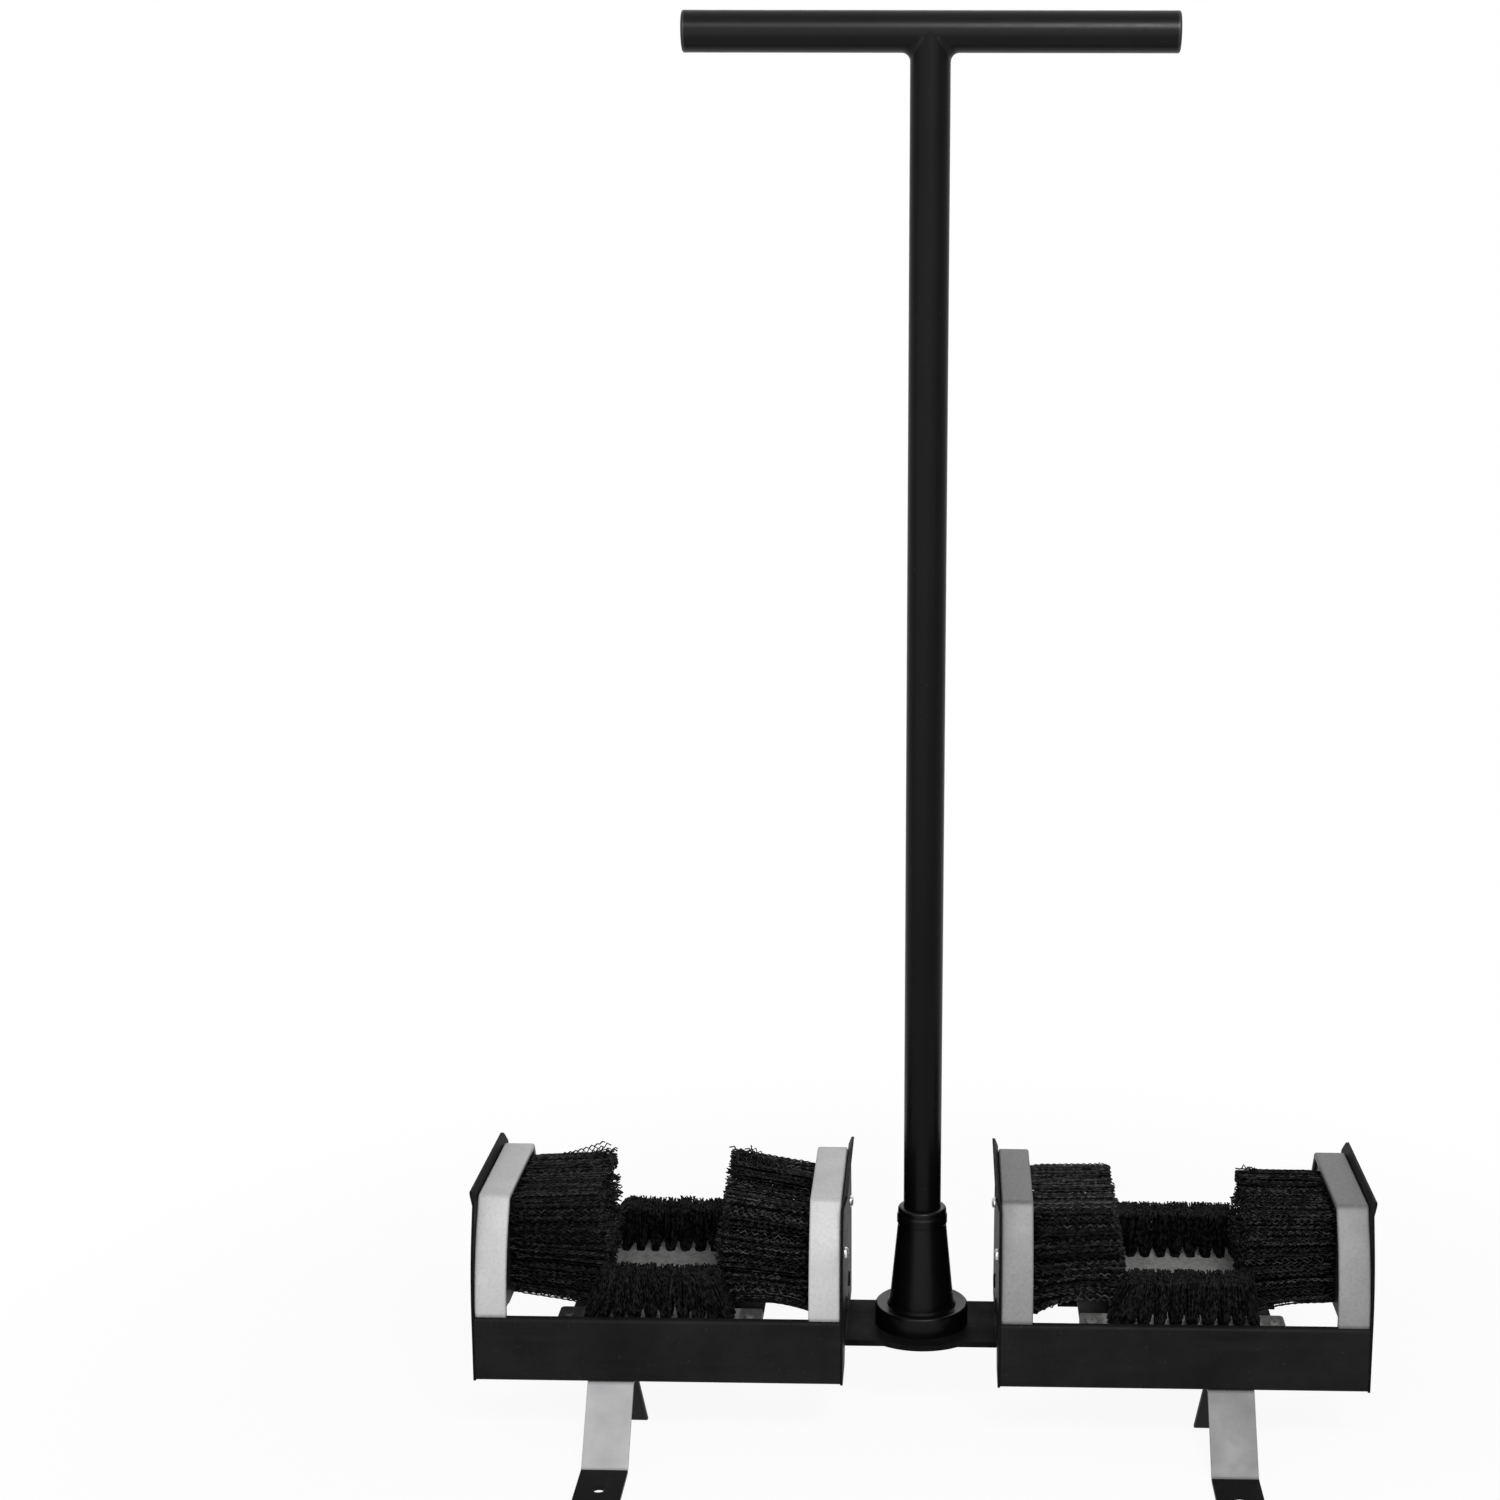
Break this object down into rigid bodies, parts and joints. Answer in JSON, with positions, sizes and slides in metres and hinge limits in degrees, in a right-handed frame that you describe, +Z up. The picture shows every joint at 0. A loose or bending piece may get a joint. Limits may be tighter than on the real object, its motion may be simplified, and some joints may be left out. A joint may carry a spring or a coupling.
{
  "type": "boot brush stand",
  "caption": "Free-standing boot brush: steel brush boxes with crimped side and bottom bristles on strap legs, a crossbar and a tall T handle.",
  "frame": {"origin": "on the floor under the pole, at the middle of the four feet", "axes": "+X from the left brush box to the right one as seen from the front, +Y from front to rear, +Z up along the pole"},
  "size_m": [0.6826, 0.397, 1.0555],
  "materials": {
    "black_paint": "satin black paint on sheet steel",
    "satin_steel": "satin light grey metal",
    "zinc_plate": "bright zinc plate",
    "black_plastic": "moulded, slightly glossy",
    "black_nylon": "crimped black nylon bristle",
    "gloss_black_paint": "semi-gloss black paint"
  },
  "bodies": {
    "root": {"crossbar": "black_paint", "crossbar_bolts": "black_paint", "crossbar_nuts": "zinc_plate", "hub_socket": "gloss_black_paint", "hub_screws": "zinc_plate", "pole_grub_screw": "zinc_plate", "pole_tube": "gloss_black_paint", "handle_bar": "gloss_black_paint", "handle_weld": "gloss_black_paint", "right_handle_cap": "black_plastic", "left_handle_cap": "black_plastic", "right_outer_side_plate": "black_paint", "right_inner_side_plate": "black_paint", "right_front_wall": "black_paint", "right_rear_wall": "black_paint", "right_outer_fender": "satin_steel", "right_inner_fender": "satin_steel", "right_outer_brush_block": "black_plastic", "right_inner_brush_block": "black_plastic", "right_outer_bristles": "black_nylon", "right_inner_bristles": "black_nylon", "right_side_brush_screws": "zinc_plate", "right_carrier_plate": "black_paint", "right_bottom_brush_block": "black_plastic", "right_bottom_brush_screws": "black_paint", "right_front_bristles": "black_nylon", "right_rear_bristles": "black_nylon", "right_front_leg": "satin_steel", "right_rear_leg": "satin_steel", "right_leg_bolts": "zinc_plate", "right_leg_nuts": "zinc_plate", "left_outer_side_plate": "black_paint", "left_inner_side_plate": "black_paint", "left_front_wall": "black_paint", "left_rear_wall": "black_paint", "left_outer_fender": "satin_steel", "left_inner_fender": "satin_steel", "left_outer_brush_block": "black_plastic", "left_inner_brush_block": "black_plastic", "left_outer_bristles": "black_nylon", "left_inner_bristles": "black_nylon", "left_side_brush_screws": "zinc_plate", "left_carrier_plate": "black_paint", "left_bottom_brush_block": "black_plastic", "left_bottom_brush_screws": "black_paint", "left_front_bristles": "black_nylon", "left_rear_bristles": "black_nylon", "left_front_leg": "satin_steel", "left_rear_leg": "satin_steel", "left_leg_bolts": "zinc_plate", "left_leg_nuts": "zinc_plate"}
  },
  "joints": []
}
